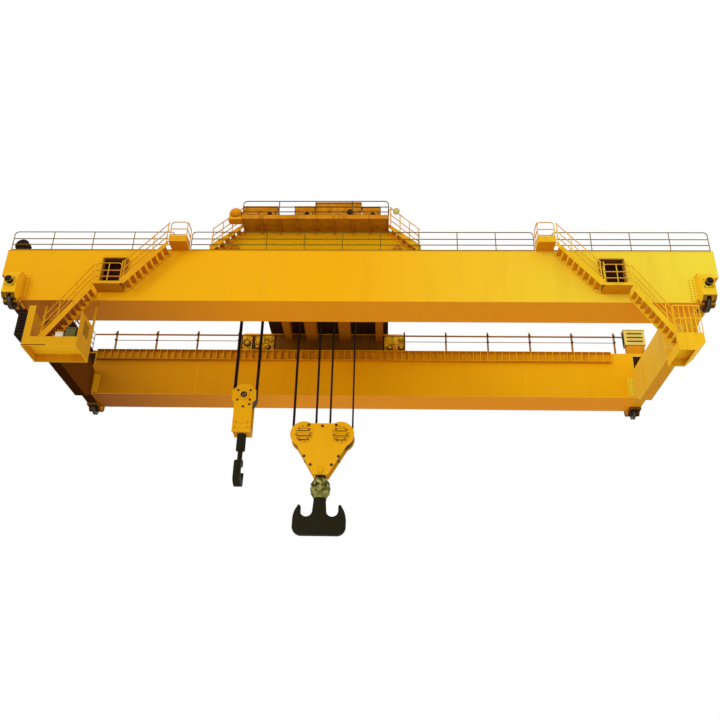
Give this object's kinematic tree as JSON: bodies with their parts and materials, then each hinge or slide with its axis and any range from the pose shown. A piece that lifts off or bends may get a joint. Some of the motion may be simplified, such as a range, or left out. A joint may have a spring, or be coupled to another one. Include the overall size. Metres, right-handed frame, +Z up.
{
  "type": "double-girder overhead travelling crane",
  "caption": "Yellow double-girder overhead travelling crane: box girders on end carriages, trolley with main and auxiliary hoists, ramshorn hook, stairs and handrails.",
  "frame": {"origin": "middle of the flat underside of the left end carriage", "axes": "+X along the girders towards the right end carriage, +Y along the runway away from the stairs, +Z up"},
  "size_m": [32.2, 13.753, 14.9149],
  "materials": {
    "yellow_paint": "gloss crane yellow, slightly worn",
    "orange_paint": "darker yellow paint",
    "rail_paint": "yellow paint on tubes and plate",
    "dark_paint": "black heat-resistant paint",
    "wheel_steel": "turned and rolled bright on the tread",
    "rail_steel": "rolled rail steel",
    "drum_steel": "greased drum steel",
    "rope_steel": "greased wire rope",
    "hook_steel": "black forged steel"
  },
  "bodies": {
    "bridge": {"front_girder": "yellow_paint", "rear_girder": "yellow_paint", "front_trolley_rail": "rail_steel", "rear_trolley_rail": "rail_steel", "left_end_carriage": "yellow_paint", "right_end_carriage": "yellow_paint", "left_end_walkway": "rail_paint", "front_left_wheel_box": "yellow_paint", "front_right_wheel_box": "yellow_paint", "rear_left_wheel_box": "yellow_paint", "rear_right_wheel_box": "yellow_paint", "front_handrail": "rail_paint", "cable_reel": "dark_paint", "rear_rib_band": "orange_paint", "rear_supply_line": "orange_paint", "left_hatch_guard": "rail_paint", "right_hatch_guard": "rail_paint", "left_landings": "rail_paint", "right_landings": "rail_paint", "left_stair": "rail_paint", "right_stair": "rail_paint", "left_boarding_platform": "yellow_paint", "right_boarding_platform": "yellow_paint", "resistor_box": "dark_paint"},
    "trolley": {"front_side_frame": "yellow_paint", "rear_side_frame": "yellow_paint", "trolley_deck": "orange_paint", "trolley_cross_beams": "orange_paint", "trolley_walkway": "orange_paint", "trolley_handrail": "rail_paint", "left_trolley_stair": "rail_paint", "right_trolley_stair": "rail_paint", "control_cabinet": "orange_paint", "hoist_drives": "orange_paint", "main_ropes": "rope_steel", "aux_ropes": "rope_steel"},
    "front_left_crane_wheel": {"front_left_crane_wheel": "wheel_steel"},
    "front_right_crane_wheel": {"front_right_crane_wheel": "wheel_steel"},
    "rear_left_crane_wheel": {"rear_left_crane_wheel": "wheel_steel"},
    "rear_right_crane_wheel": {"rear_right_crane_wheel": "wheel_steel"},
    "front_left_trolley_wheel": {"front_left_trolley_wheel": "wheel_steel"},
    "front_right_trolley_wheel": {"front_right_trolley_wheel": "wheel_steel"},
    "rear_left_trolley_wheel": {"rear_left_trolley_wheel": "wheel_steel"},
    "rear_right_trolley_wheel": {"rear_right_trolley_wheel": "wheel_steel"},
    "left_main_drum": {"left_main_drum": "drum_steel"},
    "right_main_drum": {"right_main_drum": "drum_steel"},
    "aux_drum": {"aux_drum": "drum_steel"},
    "main_block": {"main_block": "yellow_paint"},
    "left_main_sheave": {"left_main_sheave": "wheel_steel"},
    "right_main_sheave": {"right_main_sheave": "wheel_steel"},
    "main_hook": {"main_hook": "hook_steel"},
    "aux_block": {"aux_block": "yellow_paint"},
    "aux_sheave": {"aux_sheave": "wheel_steel"},
    "aux_hook": {"aux_hook": "hook_steel"}
  },
  "joints": [
    {"name": "trolley_travel", "type": "slide", "parent": "bridge", "child": "trolley", "axis": [1, 0, 0], "range_m": [-7.2, 11.8]},
    {"name": "front_left_trolley_wheel_roll", "type": "hinge", "parent": "trolley", "child": "front_left_trolley_wheel", "pos_m": [9.6, -5, 3.65], "axis": [0, 1, 0], "range_deg": [-1038, 1697]},
    {"name": "front_right_trolley_wheel_roll", "type": "hinge", "parent": "trolley", "child": "front_right_trolley_wheel", "pos_m": [17.2, -5, 3.65], "axis": [0, 1, 0], "range_deg": [-1038, 1697]},
    {"name": "rear_left_trolley_wheel_roll", "type": "hinge", "parent": "trolley", "child": "rear_left_trolley_wheel", "pos_m": [9.6, 5, 3.65], "axis": [0, 1, 0], "range_deg": [-1038, 1697]},
    {"name": "rear_right_trolley_wheel_roll", "type": "hinge", "parent": "trolley", "child": "rear_right_trolley_wheel", "pos_m": [17.2, 5, 3.65], "axis": [0, 1, 0], "range_deg": [-1038, 1697]},
    {"name": "front_left_crane_wheel_roll", "type": "hinge", "parent": "bridge", "child": "front_left_crane_wheel", "pos_m": [0, -5.965, 0.32], "axis": [1, 0, 0], "continuous": true},
    {"name": "front_right_crane_wheel_roll", "type": "hinge", "parent": "bridge", "child": "front_right_crane_wheel", "pos_m": [30.6, -5.965, 0.32], "axis": [1, 0, 0], "continuous": true},
    {"name": "rear_left_crane_wheel_roll", "type": "hinge", "parent": "bridge", "child": "rear_left_crane_wheel", "pos_m": [0, 5.965, 0.32], "axis": [1, 0, 0], "continuous": true},
    {"name": "rear_right_crane_wheel_roll", "type": "hinge", "parent": "bridge", "child": "rear_right_crane_wheel", "pos_m": [30.6, 5.965, 0.32], "axis": [1, 0, 0], "continuous": true},
    {"name": "main_hoist", "type": "slide", "parent": "trolley", "child": "main_block", "axis": [0, 0, 1], "range_m": [-12, 6.5], "deforming": ["main_ropes"]},
    {"name": "aux_hoist", "type": "slide", "parent": "trolley", "child": "aux_block", "axis": [0, 0, 1], "range_m": [-14, 4.4], "deforming": ["aux_ropes"]},
    {"name": "main_hook_swivel", "type": "hinge", "parent": "main_block", "child": "main_hook", "pos_m": [13.67, 0, -5.7], "axis": [0, 0, 1], "continuous": true},
    {"name": "aux_hook_swivel", "type": "hinge", "parent": "aux_block", "child": "aux_hook", "pos_m": [9.73, 0, -3.6], "axis": [0, 0, 1], "continuous": true},
    {"name": "left_main_drum_turn", "type": "hinge", "parent": "trolley", "child": "left_main_drum", "pos_m": [11.5947, 0, 5.72], "axis": [0, 1, 0], "range_deg": [-1178, 2170]},
    {"name": "right_main_drum_turn", "type": "hinge", "parent": "trolley", "child": "right_main_drum", "pos_m": [15.7453, 0, 5.72], "axis": [0, 1, 0], "range_deg": [-2170, 1178]},
    {"name": "aux_drum_turn", "type": "hinge", "parent": "trolley", "child": "aux_drum", "pos_m": [8.7147, 0, 5.42], "axis": [0, 1, 0], "range_deg": [-1089, 3453]},
    {"name": "left_main_sheave_turn", "type": "hinge", "parent": "main_block", "child": "left_main_sheave", "pos_m": [12.78, 0, -3.68], "axis": [0, 1, 0], "range_deg": [-1256, 683]},
    {"name": "right_main_sheave_turn", "type": "hinge", "parent": "main_block", "child": "right_main_sheave", "pos_m": [14.56, 0, -3.68], "axis": [0, 1, 0], "range_deg": [-683, 1256]},
    {"name": "aux_sheave_turn", "type": "hinge", "parent": "aux_block", "child": "aux_sheave", "pos_m": [9.73, 0, -1.65], "axis": [0, 1, 0], "range_deg": [-1464, 464]}
  ],
  "couplings": [
    {"joint": "left_main_drum_turn", "follows": "main_hoist", "rad_per_m": -3.1481},
    {"joint": "right_main_drum_turn", "follows": "main_hoist", "rad_per_m": 3.1481},
    {"joint": "aux_drum_turn", "follows": "aux_hoist", "rad_per_m": -4.2983},
    {"joint": "left_main_sheave_turn", "follows": "main_hoist", "rad_per_m": 1.8182},
    {"joint": "right_main_sheave_turn", "follows": "main_hoist", "rad_per_m": -1.8182},
    {"joint": "aux_sheave_turn", "follows": "aux_hoist", "rad_per_m": 1.8182},
    {"joint": "front_left_trolley_wheel_roll", "follows": "trolley_travel", "rad_per_m": 2.5019},
    {"joint": "front_right_trolley_wheel_roll", "follows": "trolley_travel", "rad_per_m": 2.5019},
    {"joint": "rear_left_trolley_wheel_roll", "follows": "trolley_travel", "rad_per_m": 2.5019},
    {"joint": "rear_right_trolley_wheel_roll", "follows": "trolley_travel", "rad_per_m": 2.5019}
  ]
}
